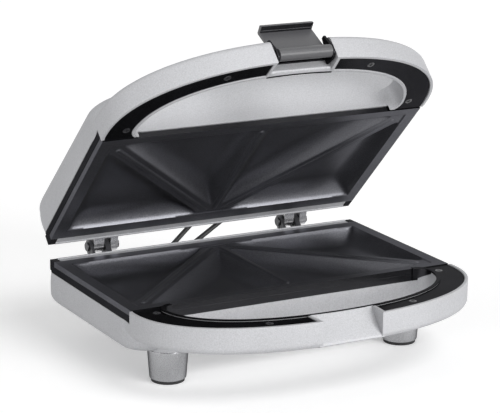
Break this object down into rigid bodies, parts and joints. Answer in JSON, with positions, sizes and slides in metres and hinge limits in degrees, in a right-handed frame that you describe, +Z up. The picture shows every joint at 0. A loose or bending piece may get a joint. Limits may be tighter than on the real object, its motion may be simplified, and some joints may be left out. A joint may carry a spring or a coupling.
{
  "type": "sandwich toaster",
  "caption": "Sandwich toaster with mirrored silver halves, triangular-pocket plates, open bow handles, a swing-over latch and a rear-hinged lid.",
  "frame": {"origin": "on the surface the feet stand on, under the middle of the whole outline with the lid standing open", "axes": "+Z up, -Y towards the bow handle and the user, +X to the right seen from the front"},
  "size_m": [0.232, 0.2175, 0.2158],
  "materials": {
    "silver": "metallic silver paint, lightly flecked, on moulded thermoplastic",
    "black_frame": "glossy black",
    "nonstick": "dark satin non-stick coat on cast aluminium",
    "element": "heat-darkened steel sheath",
    "bright_steel": "bright steel",
    "screw_steel": "zinc-plated steel",
    "dark_steel": "black painted steel",
    "latch_plastic": "satin dark grey",
    "pad_rubber": "matt dark grey",
    "lead_rubber": "black sleeve",
    "ceramic": "pale ceramic",
    "red_lens": "clear red",
    "green_lens": "clear green"
  },
  "bodies": {
    "base": {"base_shell": "silver", "base_frame": "black_frame", "lower_plate": "nonstick", "lower_heater": "element", "lower_reflector": "bright_steel", "lower_plate_screws": "screw_steel", "thermostat": "ceramic", "thermal_fuse": "ceramic", "terminal_block": "ceramic", "cord_gland": "black_frame", "base_frame_screws": "screw_steel", "foot_front_left": "silver", "foot_front_right": "silver", "foot_rear_left": "silver", "foot_rear_right": "silver", "pad_front_left": "pad_rubber", "pad_front_right": "pad_rubber", "pad_rear_left": "pad_rubber", "pad_rear_right": "pad_rubber", "foot_screws": "screw_steel", "base_hinge_left": "dark_steel", "base_hinge_right": "dark_steel", "hinge_pin_left": "bright_steel", "hinge_pin_right": "bright_steel", "lead_left": "lead_rubber", "lead_right": "lead_rubber"},
    "lid": {"lid_shell": "silver", "lid_frame": "black_frame", "upper_plate": "nonstick", "upper_heater": "element", "upper_reflector": "bright_steel", "upper_plate_screws": "screw_steel", "lid_frame_screws": "screw_steel", "lid_hinge_left": "bright_steel", "lid_hinge_right": "bright_steel", "power_lens": "red_lens", "ready_lens": "green_lens", "lamp_holder": "ceramic", "latch_bracket": "black_frame", "latch_pin": "bright_steel"},
    "latch": {"latch": "latch_plastic"}
  },
  "joints": [
    {"name": "lid_hinge", "type": "hinge", "parent": "base", "child": "lid", "pos_m": [0, 0.09789, 0.0533], "axis": [-1, 0, 0], "range_deg": [-44.6, 55.4], "deforming": ["lead_left", "lead_right"]},
    {"name": "latch_pivot", "type": "hinge", "parent": "lid", "child": "latch", "pos_m": [0, -0.04386, 0.20109], "axis": [-1, 0, 0], "range_deg": [-198, 0]}
  ]
}
